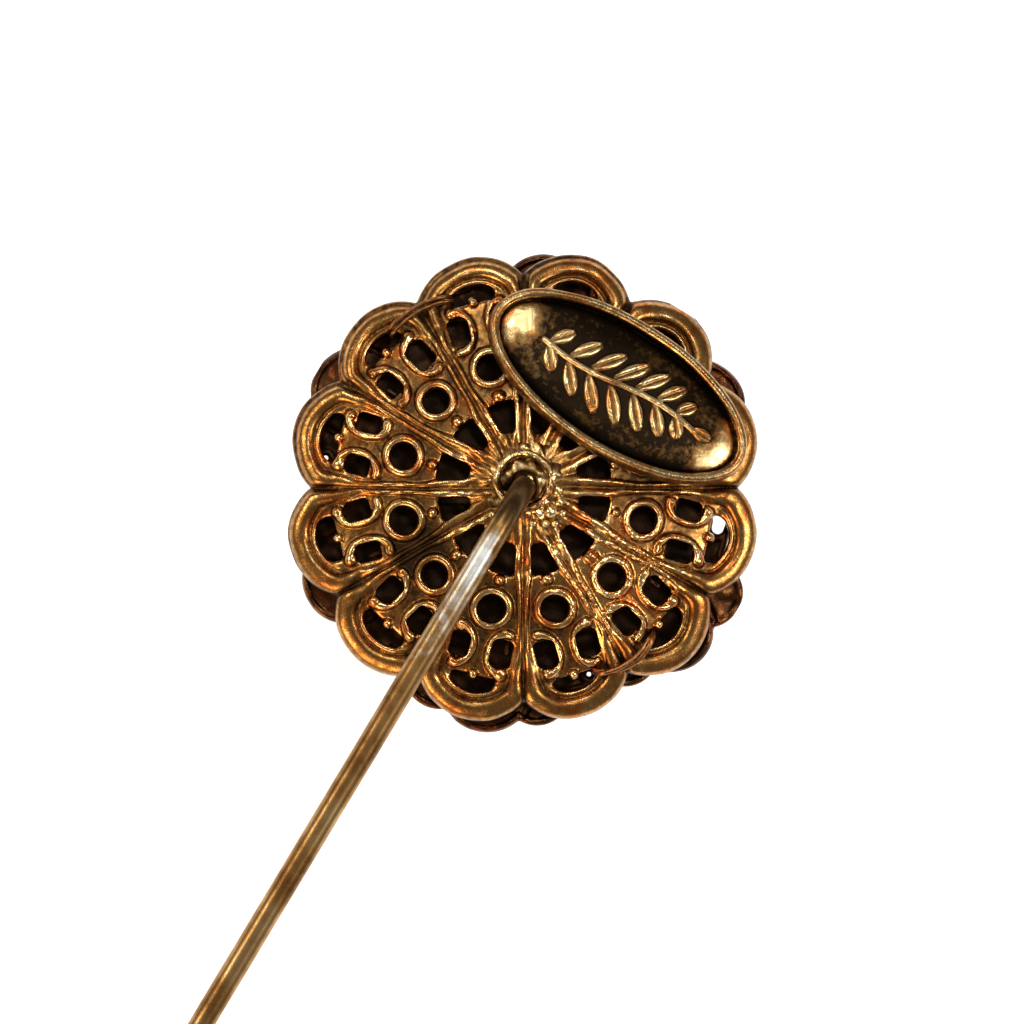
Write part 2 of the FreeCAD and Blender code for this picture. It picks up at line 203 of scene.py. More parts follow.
def soft_min(a, b, k):
    h = np.maximum(k - np.abs(a - b), 0.0) / k
    return np.minimum(a, b) - h * h * k / 4


def soft_max(a, b, k):
    return -soft_min(-a, -b, k)


def ease(low, high, value):
    """0 at low, 1 at high and beyond, with a smooth rise between them."""
    t = np.clip((value - low) / (high - low), 0, 1)
    return t * t * (3 - 2 * t)


def fold(x, y, count, first):
    """Coordinates in the nearest of count equal sectors: u outwards, v across, and the sector."""
    pitch = 2 * pi / count
    angle = np.arctan2(y, x) - radians(first)
    sector = np.round(angle / pitch)
    local = angle - sector * pitch
    r = np.hypot(x, y)
    return r * np.cos(local), r * np.sin(local), sector.astype(int) % count


def to_path(u, v, points):
    """Distance to a run of straight pieces through these points."""
    best = None
    for (au, av), (bu, bv) in zip(points, points[1:]):
        du, dv = bu - au, bv - av
        t = np.clip(((u - au) * du + (v - av) * dv) / (du * du + dv * dv), 0, 1)
        d = np.hypot(u - au - t * du, v - av - t * dv)
        best = d if best is None else np.minimum(best, d)
    return best


def arc_points(centre, radii, start, end, count):
    """Points on an ellipse's arc, angles in degrees."""
    angles = np.radians(np.linspace(start, end, count))
    across = centre[0] + radii[0] * np.cos(angles)
    return list(zip(across, centre[1] + radii[1] * np.sin(angles)))


def rounded_box(u, v, centre, half, corner):
    du = np.abs(u - centre[0]) - half[0] + corner
    dv = np.abs(v - centre[1]) - half[1] + corner
    outside = np.hypot(np.maximum(du, 0), np.maximum(dv, 0))
    return outside + np.minimum(np.maximum(du, dv), 0) - corner


def ridge(distance, radius, height):
    """A rounded ridge's height, for a distance from its middle line."""
    return height * np.sqrt(np.clip(1 - (distance / radius) ** 2, 0, 1))


def blur(field, cells):
    """Two passes of a box average along both axes of a flat map."""
    size = 2 * cells + 1
    for _ in range(4):
        total = np.cumsum(np.pad(field, ((cells + 1, cells), (0, 0)), mode="edge"), axis=0)
        field = ((total[size:] - total[:-size]) / size).T
    return field


def grid(low, high, step):
    axes = [np.arange(a, b + step, step, dtype=np.float32) for a, b in zip(low, high)]
    return np.meshgrid(*axes, indexing="ij", sparse=True)


def grid_about(centre, reach, bottom, top, step):
    """A grid round an upright line: x and y from the line, z, and the grid's lowest corner."""
    low = np.array([centre[0] - reach, centre[1] - reach, bottom])
    high = np.array([centre[0] + reach, centre[1] + reach, top])
    x, y, z = grid(low, high, step)
    return x - centre[0], y - centre[1], z, low


def even(field, relief, step):
    """A field above a relief, with its steps kept even where the relief is steep."""
    slope_x, slope_y = np.gradient(relief[:, :, 0], step)
    return field / np.sqrt(1 + np.minimum(slope_x**2 + slope_y**2, 9.0))[:, :, None]


def skin(field, low, step):
    """The surface where a field is zero: its points and its four-sided faces."""
    reach = 3 * step
    volume = openvdb.FloatGrid(reach)
    volume.copyFromArray(np.clip(field, -reach, reach).astype(np.float32))
    points, _, quads = volume.convertToPolygons(isovalue=0.0)
    return np.asarray(points) * step + np.asarray(low), np.asarray(quads)[:, ::-1]


def sample(flat_map, low, step, points):
    """Values of a flat map at the points, between its cells."""
    fx = np.clip((points[:, 0] - low[0]) / step, 0, flat_map.shape[0] - 1.001)
    fy = np.clip((points[:, 1] - low[1]) / step, 0, flat_map.shape[1] - 1.001)
    ix, iy = fx.astype(int), fy.astype(int)
    tx, ty = fx - ix, fy - iy
    near = flat_map[ix, iy] * (1 - ty) + flat_map[ix, iy + 1] * ty
    far = flat_map[ix + 1, iy] * (1 - ty) + flat_map[ix + 1, iy + 1] * ty
    return near * (1 - tx) + far * tx


# ---- meshes

def new_object(name, data):
    made = bpy.data.objects.new(name, data)
    SCENE.collection.objects.link(made)
    return made


def mesh_object(name, points, faces):
    """A smooth-shaded object from points, none of them outside the CAD's box."""
    data = bpy.data.meshes.new(name)
    points = np.clip(np.asarray(points, dtype=float) * MM, *np.array(CAD_BOX))
    data.from_pydata(points, [], faces)
    data.update()
    data.shade_smooth()
    return new_object(name, data)


def rows_object(name, rows, closed):
    """A skin over rings of points, capped at both ends unless the rows close up."""
    count, around = rows.shape[:2]
    faces = []
    for i in range(count if closed else count - 1):
        here, there = i * around, (i + 1) % count * around
        for j in range(around):
            k = (j + 1) % around
            faces.append((here + j, here + k, there + k, there + j))
    if not closed:
        faces += [tuple(range(around)), tuple(range((count - 1) * around, count * around))]
    piece = mesh_object(name, rows.reshape(-1, 3), faces)
    shape = bmesh.new()
    shape.from_mesh(piece.data)
    bmesh.ops.recalc_face_normals(shape, faces=shape.faces)
    shape.to_mesh(piece.data)
    shape.free()
    return piece


def sweep(name, path, radii, side, around, closed=False):
    """A round wire along a path that lies roughly square to side."""
    path = np.asarray(path, dtype=float)
    radii = np.broadcast_to(radii, len(path))[:, None, None]
    if closed:
        along = np.roll(path, -1, 0) - np.roll(path, 1, 0)
    else:
        along = np.gradient(path, axis=0)
    along /= np.linalg.norm(along, axis=1)[:, None]
    side = np.broadcast_to(side, path.shape)
    first = side - along * np.sum(along * side, axis=1)[:, None]
    first /= np.linalg.norm(first, axis=1)[:, None]
    second = np.cross(along, first)
    turn = np.linspace(0, 2 * pi, around, endpoint=False)[None, :, None]
    rows = path[:, None] + radii * (first[:, None] * np.cos(turn) + second[:, None] * np.sin(turn))
    return rows_object(name, rows, closed)


def lathe(name, profile, spot, axis, around, closed=False, shape=None):
    """A turned piece. Profile points are (distance from the axis, distance along it) from spot."""
    profile = np.asarray(profile, dtype=float)
    turn = np.linspace(0, 2 * pi, around, endpoint=False)[None, :]
    r = profile[:, :1] + 0 * turn
    h = profile[:, 1:] + 0 * turn
    if shape:
        r, h = shape(r, h, turn)
    local = np.stack([r * np.cos(turn), r * np.sin(turn), h], axis=2)
    square = np.array(Vector(axis).to_track_quat("Z", "Y").to_matrix())
    return rows_object(name, local @ square.T + np.asarray(spot), closed)


def join(name, pieces):
    """One object from several."""
    shape = bmesh.new()
    for piece in pieces:
        shape.from_mesh(piece.data)
        bpy.data.objects.remove(piece)
    data = bpy.data.meshes.new(name)
    shape.to_mesh(data)
    shape.free()
    data.shade_smooth()
    return new_object(name, data)


def set_wear_and_painted_light(piece, values):
    """How rubbed each point is, from 0 in a dark hollow to 1 on a bright edge; on some pieces the
    same values also carry painted shade and painted highlights.
    """
    layer = piece.data.attributes.new("wear_and_painted_light", "FLOAT", "POINT")
    layer.data.foreach_set("value", np.clip(values, 0, 1).astype(np.float32))


def paint(piece, material):
    piece.data.materials.clear()
    piece.data.materials.append(material)


def place(piece, body, slot, material, *nodes):
    paint(piece, material)
    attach(piece, body)
    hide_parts(*nodes)


# ---- materials

class Nodes:
    """A short way to write a material's nodes."""

    def __init__(self, name):
        self.material = bpy.data.materials.new(name)
        self.material.use_nodes = True
        self.tree = self.material.node_tree
        self.shader = self.tree.nodes["Principled BSDF"]

    def add(self, kind, **settings):
        node = self.tree.nodes.new(kind)
        for key, value in settings.items():
            setattr(node, key, value)
        return node

    def put(self, socket, value):
        """Give a socket a number or a colour, or link a node's output to it."""
        if isinstance(value, tuple):
            socket.default_value = (*value, 1)
        elif isinstance(value, (int, float)):
            socket.default_value = value
        else:
            self.tree.links.new(value, socket)

    def noise(self, size_mm, detail=3.0, roughness=0.5, stretch=(1, 1, 1)):
        """Noise in the object's own coordinates, with features about this size."""
        node = self.add("ShaderNodeTexNoise")
        self.put(node.inputs["Scale"], 1 / (size_mm * MM))
        self.put(node.inputs["Detail"], detail)
        self.put(node.inputs["Roughness"], roughness)
        coordinates = self.add("ShaderNodeTexCoord")
        mapping = self.add("ShaderNodeMapping")
        mapping.inputs["Scale"].default_value = stretch
        self.put(mapping.inputs["Vector"], coordinates.outputs["Object"])
        self.put(node.inputs["Vector"], mapping.outputs["Vector"])
        return node.outputs["Fac"]

    def math(self, operation, a, b=0.0, c=0.0):
        node = self.add("ShaderNodeMath", operation=operation)
        for socket, value in zip(node.inputs, (a, b, c)):
            self.put(socket, value)
        return node.outputs[0]

    def ramp(self, value, stops):
        """A colour ramp; each stop is a place and a grey or a colour."""
        node = self.add("ShaderNodeValToRGB")
        band = node.color_ramp
        while len(band.elements) < len(stops):
            band.elements.new(0.5)
        for element, (where, colour) in zip(band.elements, stops):
            element.position = where
            if isinstance(colour, (int, float)):
                colour = (colour,) * 3
            element.color = (*colour, 1)
        self.put(node.inputs["Fac"], value)
        return node.outputs["Color"]

    def mix(self, factor, a, b):
        node = self.add("ShaderNodeMix", data_type="RGBA")
        for socket, value in ((0, factor), (6, a), (7, b)):
            self.put(node.inputs[socket], value)
        return node.outputs[2]

    def bump(self, height, distance_mm):
        node = self.add("ShaderNodeBump")
        self.put(node.inputs["Strength"], 1.0)
        self.put(node.inputs["Distance"], distance_mm * MM)
        self.put(node.inputs["Height"], height)
        self.put(self.shader.inputs["Normal"], node.outputs["Normal"])

    def set(self, **values):
        for key, value in values.items():
            self.put(self.shader.inputs[key.replace("_", " ")], value)


def antique(name, dark, middle, bright, tint, wear_and_painted_light=None, bump_mm=0.012, polish=0.0):
    """Antiqued brass, bright where the given level (or else the mesh's own, which on some pieces
    holds painted shade and highlights) is high, with copper patches.
    """
    n = Nodes(name)
    if wear_and_painted_light is None:
        wear_and_painted_light = n.add("ShaderNodeAttribute", attribute_name="wear_and_painted_light").outputs["Fac"]
    fine = n.math("SUBTRACT", n.noise(0.24, 5.0, 0.65), 0.5)
    broad = n.math("SUBTRACT", n.noise(2.2, 2.0), 0.5)
    level = n.math("MULTIPLY_ADD", fine, 0.85, wear_and_painted_light)
    level = n.math("MULTIPLY_ADD", broad, 0.35, level)
    metal = n.ramp(level, [(0.12, dark), (0.42, middle), (0.90, bright)])
    patch = n.ramp(n.noise(1.3, 3.0, 0.65), [(0.48, 0.0), (0.64, 0.88)])
    copper = n.ramp(level, [(0.12, dark), (0.7, tint)])
    n.set(Base_Color=n.mix(patch, metal, copper), Metallic=1.0)
    n.set(Roughness=n.ramp(level, [(0.1, 0.46 - polish), (0.45, 0.30 - polish), (0.9, 0.20)]))
    grain = n.math("MULTIPLY_ADD", n.noise(0.5, 2.0), 1.5, n.noise(0.09, 3.0, 0.7))
    n.bump(grain, bump_mm)
    return n.material


BACK_BRASS = antique(
    "back_brass", (0.046, 0.025, 0.011), (0.33, 0.162, 0.046), (0.92, 0.62, 0.285),
    (0.60, 0.18, 0.035), bump_mm=0.007, polish=0.05,
)
# Painted shade: the flower's brass, made much darker than the back plate's because it lies in shade
# between the plates.
SHADED_BRASS = antique(
    "dark_brass", (0.028, 0.015, 0.008), (0.050, 0.019, 0.008), (0.20, 0.082, 0.027),
    (0.13, 0.034, 0.011),
)
PLAQUE_BRASS = antique(
    "plaque_brass", (0.018, 0.011, 0.006), (0.20, 0.112, 0.038), (0.85, 0.62, 0.31),
    (0.46, 0.19, 0.05), polish=0.01,
)
HUB_BRASS = antique(
    "hub_brass", (0.045, 0.027, 0.011), (0.35, 0.215, 0.080), (0.90, 0.70, 0.36),
    (0.52, 0.21, 0.055),
)
INNER_BRASS = antique(
    "inner_brass", (0.02, 0.01, 0.005), (0.20, 0.11, 0.045), (0.6, 0.4, 0.18),
    (0.45, 0.2, 0.08), wear_and_painted_light=0.45,
)
WIRE_BRASS = antique(
    "wire_brass", (0.02, 0.009, 0.004), (0.20, 0.085, 0.030), (0.70, 0.38, 0.14),
    (0.50, 0.18, 0.055), wear_and_painted_light=0.45,
)
GUARD_BRASS = antique(
    "guard_brass", (0.05, 0.03, 0.012), (0.36, 0.23, 0.095), (0.80, 0.58, 0.28),
    (0.55, 0.31, 0.12), wear_and_painted_light=0.7, bump_mm=0.004,
)
SETTING_BRASS = antique(
    "setting_brass", (0.06, 0.035, 0.015), (0.40, 0.25, 0.10), (0.85, 0.62, 0.30),
    (0.6, 0.34, 0.13), wear_and_painted_light=0.7, bump_mm=0.005,
)


def make_stem_brass():
    """Drawn wire: olive brass with fine lines along it, near black with painted shade where the
    mesh's level is low, pale with a painted highlight where it is high.
    """
    n = Nodes("stem_brass")
    lines = n.noise(0.11, 4.0, 0.5, stretch=(0.03, 1, 1))
    stain = n.noise(1.6, 4.0, 0.6)
    level = n.math("MULTIPLY_ADD", n.math("SUBTRACT", lines, 0.5), 0.25, stain)
    olive = [(0.30, (0.11, 0.048, 0.014)), (0.5, (0.26, 0.145, 0.052)), (0.72, (0.42, 0.29, 0.14))]
    metal = n.ramp(level, olive)
    wear_and_painted_light = n.add("ShaderNodeAttribute", attribute_name="wear_and_painted_light").outputs["Fac"]
    wear_and_painted_light = n.math("MULTIPLY_ADD", n.math("SUBTRACT", n.noise(0.5, 4.0, 0.6), 0.5), 0.5, wear_and_painted_light)
    # Painted shade: a near-black brown where the level is low.
    metal = n.mix(n.ramp(wear_and_painted_light, [(0.15, 0.85), (0.45, 0.0)]), metal, (0.055, 0.030, 0.012))
    # Painted highlight: a pale bluish grey where the level is high.
    metal = n.mix(n.ramp(wear_and_painted_light, [(0.62, 0.0), (1.0, 0.95)]), metal, (0.86, 0.88, 0.88))
    n.set(Base_Color=metal)
    n.set(Roughness=n.ramp(level, [(0.3, 0.42), (0.7, 0.31)]), Metallic=1.0)
    n.bump(lines, 0.0015)
    return n.material


def clouded(name, cloud, colours, gloss=None, bumps=None, **settings):
    """A material in clouds of colour. Cloud, gloss and bumps start with a noise's size and detail;
    gloss goes on with its lowest and highest roughness, bumps with their height in millimetres."""
    n = Nodes(name)
    n.set(Base_Color=n.ramp(n.noise(*cloud), colours), **settings)
    if gloss:
        size, detail, low, high = gloss
        n.set(Roughness=n.ramp(n.noise(size, detail), [(0.3, low), (0.7, high)]))
    if bumps:
        size, detail, height = bumps
        n.bump(n.noise(size, detail), height)
    return n.material


STEM_BRASS = make_stem_brass()
# Imitation pearl: creamy coats over glass, with a soft shift of colour
PEARL_COAT = clouded(
    "pearl", (1.8, 3.0),
    [(0.3, (0.64, 0.54, 0.41)), (0.55, (0.75, 0.67, 0.54)), (0.75, (0.71, 0.64, 0.58))],
    (0.7, 4.0, 0.20, 0.30), (0.9, 2.0, 0.010), Metallic=0.25,
    Subsurface_Weight=0.15, Subsurface_Scale=0.0004, Coat_Weight=0.7, Coat_Roughness=0.08,
)
STONE_GLASS = clouded(
    "stone_glass", (0.8, 3.0), [(0.3, (0.93, 0.96, 1.0)), (0.7, (1.0, 0.98, 0.96))],
    bumps=(0.6, 3.0, 0.001), Roughness=0.02, Transmission_Weight=0.6, IOR=1.6,
)
SEED_GLASS = clouded(
    "seed_glass", (0.8, 3.0), [(0.3, (0.52, 0.33, 0.11)), (0.7, (0.83, 0.63, 0.30))],
    (0.4, 3.0, 0.12, 0.22), Metallic=0.6, Coat_Weight=0.8, Coat_Roughness=0.05,
)
RUBBER = clouded(
    "liner_rubber", (0.5, 4.0), [(0.3, (0.012, 0.011, 0.010)), (0.7, (0.030, 0.027, 0.024))],
    (0.3, 3.0, 0.55, 0.75), (0.15, 4.0, 0.01),
)
FLOOR_WHITE = clouded(
    "floor", (60.0, 3.0), [(0.3, 0.93), (0.7, 0.95)], Roughness=0.9,
    Emission_Color=(1.0, 0.98, 0.95), Emission_Strength=0.65, Specular_IOR_Level=0.0,
)


# ---- camera, light and floor

# The page's turn, the view's width, and the head's place on the page from the view's middle
SHANK_TURN = 239.0
VIEW_WIDTH = 43.3
VIEW_SHIFT = (0.49, 1.02)
LENS = 160.0
SENSOR = 36.0

FLOOR_HALF = 600.0
WORLD_LIGHT = 0.20
LIGHT_AWAY = 0.3
# Name, degrees off the view's line, direction on the page, sides in metres, brightness, colour
LIGHTS = (
    ("panel_top", 35, 104, (0.075, 0.03), 31, (1.0, 0.96, 0.88)),
    ("panel_right", 42, -12, (0.09, 0.035), 39, (1.0, 0.93, 0.82)),
    ("panel_left", 48, 168, (0.10, 0.05), 16, (1.0, 0.83, 0.60)),
    ("low_glow", 62, 232, (0.16, 0.08), 11, (1.0, 0.66, 0.36)),
    ("small_window", 13, 60, (0.03, 0.03), 45, (0.86, 0.93, 1.0)),
)


def make_camera():
    """Straight down on the back of the head, with the shank to the lower left."""
    right = Vector(polar(1, -SHANK_TURN))
    up = Vector((-right.y, right.x))
    aim = Vector((HEAD[0], HEAD[1])) - right * VIEW_SHIFT[0] - up * VIEW_SHIFT[1]
    distance = VIEW_WIDTH * LENS / SENSOR
    camera = new_object("camera", bpy.data.cameras.new("camera"))
    camera.data.lens = LENS
    camera.data.sensor_width = SENSOR
    camera.data.clip_start = 0.005
    camera.location = Vector((aim.x, aim.y, DOME_TOP + distance)) * MM
    camera.rotation_euler = (0, 0, radians(-SHANK_TURN))
    bpy.context.scene.camera = camera
    return right, up


def area_light(name, tilt, azimuth, size, brightness, colour, right, up):
    """A soft panel that faces the head."""
    data = bpy.data.lights.new(name, "AREA")
    data.shape = "RECTANGLE"
    data.size, data.size_y = size
    data.energy = brightness * pi * size[0] * size[1]
    data.color = colour
    lamp = new_object(name, data)
    across, upward = polar(1, azimuth)
    rise, spread = polar(1, tilt)
    away = Vector((*((right * across + up * upward) * spread), rise))
    lamp.location = Vector(HEAD) * MM + away * LIGHT_AWAY
    lamp.rotation_euler = (-away).to_track_quat("-Z", "Y").to_euler()


def make_stage(right, up):
    """Pale floor, soft panels and a faint warm world."""
    corners = np.array([(-1, -1, 0), (1, -1, 0), (1, 1, 0), (-1, 1, 0)]) * FLOOR_HALF
    data = bpy.data.meshes.new("floor")
    points = (corners + (HEAD[0], HEAD[1], CAD_BOX[0][2] / MM)) * MM
    data.from_pydata(points, [], [(0, 1, 2, 3)])
    data.materials.append(FLOOR_WHITE)
    floor = new_object("floor", data)

    world = bpy.data.worlds.new("studio")
    SCENE.world = world
    world.use_nodes = True
    background = world.node_tree.nodes["Background"]
    background.inputs["Color"].default_value = (1.0, 0.96, 0.90, 1)
    background.inputs["Strength"].default_value = WORLD_LIGHT

    for light in LIGHTS:
        area_light(*light, right, up)
    SCENE.view_settings.view_transform = "Standard"


make_stage(*make_camera())


# ---- back plate

def rim_profile(t, lip, inner):
    """Section of the rolled rim, t from 0 at its outer edge: a lip, a broad ridge, a narrow one."""
    flange = 0.15 * ease(0.0, 0.05, t) * (1 - ease(0.3, 0.4, t))
    flange *= ease(0.02, 0.1, lip)
    x = np.clip(((t - lip) / (0.80 - lip) - 0.5) * 2, -1, 1)
    fullness = np.where(x < 0, 2.7, 2.0)
    broad = RIM_HEIGHT * (1 - np.abs(x) ** fullness) ** (1 / fullness)
    narrow = inner * ridge((t - 0.91) / 0.11, 1.0, 0.4 * RIM_HEIGHT)
    return np.maximum.reduce([broad, narrow, flange])


def plate_maps(x, y):
    """The back plate's plan: its relief, its outline and its holes, as flat fields."""
    rng = np.random.default_rng(7)
    wobble_x = 0.05 * waves(x, y, 2.2, 1) + 0.02 * waves(x, y, 0.7, 8)
    wobble_y = 0.05 * waves(x, y, 2.2, 2) + 0.02 * waves(x, y, 0.7, 9)
    u, v, sector = fold(x + wobble_x, y + wobble_y, PETALS, FIRST_PETAL)
    odd = rng.uniform(-1, 1, (PETALS, 8))[sector]
    r = np.hypot(u, v)
    side = np.abs(v)
    half_pitch = pi / PETALS
    edge = u * sin(half_pitch) - side * cos(half_pitch)
    reach = PETAL_CENTRE + np.array(PETAL_REACH)[sector]
    end = np.hypot(np.maximum(u - reach, 0), v)
    outline = np.minimum(np.hypot(u - reach, v) - PETAL_R, r - PETALS_FROM)

    # The rim arches over each petal's end, and its feet narrow into ribs beside the next petal's.
    rib_w = 0.29 + 0.62 * ease(6.7, 8.6, u) + 0.24 * (1 - ease(2.8, 4.8, u))
    rib_w += 0.03 * waves(x, y, 0.9, 5)
    across = soft_min((PETAL_R - end) / RIM_W, edge / rib_w, 0.2)
    on_rim = ease(7.5, 8.6, u)
    rib = ridge((across - 0.54) / 0.46, 1.0, 0.24 + 0.07 * waves(x, y, 0.35, 6))
    lip_w = 0.20 * np.clip(np.cos(np.arctan2(y, x) - radians(LIP_ANGLE)), 0, 1)
    rim = on_rim * rim_profile(across, lip_w, ease(7.9, 8.6, u)) + (1 - on_rim) * rib

    # Scrolls stand back to back between the two oblong holes, with a ball at each of their ends.
    scroll_at, scroll_half, scroll_w = SCROLL
    shift = 0.05 * odd[..., 0]
    scroll = to_path(u - shift, side, arc_points(scroll_at, scroll_half, 8, -190, 14))
    scrolls = ridge(scroll, scroll_w, 0.33 + 0.05 * waves(x, y, 0.4, 11))
    middle_u, middle_r = MIDDLE_BALL
    balls = ridge(np.hypot(u - middle_u, v - 0.05 * odd[..., 6]), middle_r, 0.36)
    for place_u, place_v, radius in (SIDE_BALL, *SMALL_BALLS):
        loose_u = place_u + 0.06 * waves(x, y, 1.0, 12)
        size = radius * (1 + 0.25 * waves(x, y, 1.3, 13))
        ball = ridge(np.hypot(u - loose_u, side - place_v) / size, 1.0, radius * 1.2)
        balls = np.maximum(balls, ball)

    # A raised lip round the round hole.
    hole_u, hole_r = ROUND_HOLE
    hole_r += 0.03 * odd[..., 1]
    ring_at = np.hypot(u - hole_u, v - 0.04 * odd[..., 2])
    lip = ridge(ring_at - hole_r - 0.19, 0.22, 0.33)

    relief = np.maximum.reduce([rim, scrolls, balls, lip])
    web = 0.03 + 0.05 * ridge(side - 0.9, 0.9, 1.0) * ease(3.4, 4.2, u)
    relief = soft_max(relief, web, 0.10)
    relief = soft_max(relief, ridge(r, 2.3, 0.22), 0.2)

    # Four holes: a crescent under the rim, a pair of oblongs, the round one, a key-shaped one.
    crescent = soft_max(end - (PETAL_R - RIM_W - 0.03), 8.17 + 0.06 * odd[..., 7] - u, 0.2)
    crescent = soft_max(crescent, side - 1.00 - 0.06 * odd[..., 3], 0.25)
    crescent = soft_max(crescent, 0.23 - np.hypot(u - middle_u, v), 0.08)
    from_side_ball = np.hypot(u - SIDE_BALL[0], side - SIDE_BALL[1])
    crescent = soft_max(crescent, 0.27 - from_side_ball, 0.08)
    oblong = rounded_box(u, side, *OBLONG_HOLE)
    oblong += 0.05 * np.where(v > 0, odd[..., 4], odd[..., 5])
    taper = 0.26 + 0.28 * np.clip((u - 2.4) / 1.2, 0, 1) + 0.04 * odd[..., 0]
    key_hole = soft_max(np.abs(u - KEY_HOLE[0]) - KEY_HOLE[1], side - taper, 0.24)
    holes = np.minimum.reduce([crescent, oblong, ring_at - hole_r, key_hole])
    return relief, outline, holes


def spot_near(x, y, radius, angle, reach):
    """1 at a place given as in polar, fading to 0 at reach from it."""
    spot_x, spot_y = polar(radius, angle)
    return 1 - ease(0.35 * reach, reach, np.hypot(x - spot_x, y - spot_y))


def make_back_plate():
    """The plan's relief and holes laid over a shallow dome."""
    centre_z = DOME_TOP - DOME_R
    step = PLATE_STEP
    x, y, z, low = grid_about(HEAD, PETAL_CENTRE + PETAL_R + 0.3, -6.1, -2.8, step)
    relief, outline, holes = (field.astype(np.float32) for field in plate_maps(x, y))
    relief = relief + 0.018 * waves(x, y, 0.55, 3) + 0.03 * waves(x, y, 1.6, 4)
    spatter = spot_near(x, y, 5.0, SPATTER_AND_HIGHLIGHT_TURN, 3.6) * ease(0.14, 0.22, relief)
    relief = relief + 0.07 * spatter * np.abs(waves(x, y, 0.22, 10))
    height = np.sqrt(x * x + y * y + (z - centre_z) ** 2) - DOME_R
    top = even(height - relief, relief, step)
    walls = soft_max(outline, -holes, 0.1)
    field = soft_max(soft_max(top, -SHEET_T - height, 0.1), walls, 0.14)
    points, faces = skin(field, low, step)
    plate = mesh_object("back_filigree_relief", points, faces)

    # Rubbed where it stands proud of what surrounds it, with holes counted as deep.
    solid = np.where(walls < 0, relief, np.where(outline > -0.05, 0.12, -0.6))[:, :, 0]
    proud = relief[:, :, 0] - blur(solid, 6)
    local = points - (HEAD[0], HEAD[1], centre_z)
    surface = sample(relief[:, :, 0], low, step, points)
    depth = surface - (np.linalg.norm(local, axis=1) - DOME_R)
    wear_and_painted_light = 0.30 + 1.45 * sample(proud, low, step, points) - 1.2 * np.clip(depth - 0.08, 0, 1)
    # Partly solder spatter and partly a painted highlight: brighter over the side where solder
    # spattered, where the right-hand lights glint on the lumps.
    wear_and_painted_light += 0.28 * spot_near(local[:, 0], local[:, 1], 5.0, SPATTER_AND_HIGHLIGHT_TURN, 3.4)
    wear_and_painted_light -= 0.35 * spot_near(local[:, 0], local[:, 1], 5.2, STAIN_TURN, 1.5)
    set_wear_and_painted_light(plate, wear_and_painted_light)
    place(plate, "pin", "back_brass", BACK_BRASS, "back_filigree")


# ---- front flower

# Each petal's turn from its even place, and how much longer its two side lobes are
FLOWER_HABIT = (
    (-5.0, 0.10, -0.05), (-6.8, -0.45, 0.50), (4.0, 0.0, 0.0),
    (0.0, 0.0, 0.0), (4.5, 0.0, 0.0), (1.5, 0.15, 0.05),
)
# Places where light shows beside the flower: angle, distance from the head's axis, radius
FLOWER_GAPS = (
    (109.4, 8.50, 0.25), (111.0, 8.52, 0.27), (112.9, 8.44, 0.25),
    (50.4, 8.45, 0.10), (292.4, 8.58, 0.12),
)

# The legs of the two tie wires, as angle and distance from the head's axis
UPPER_TIE = ((251.8, 8.71), (231.8, 8.62))
LOWER_TIE = ((72.9, 8.31), (52.2, 8.40))


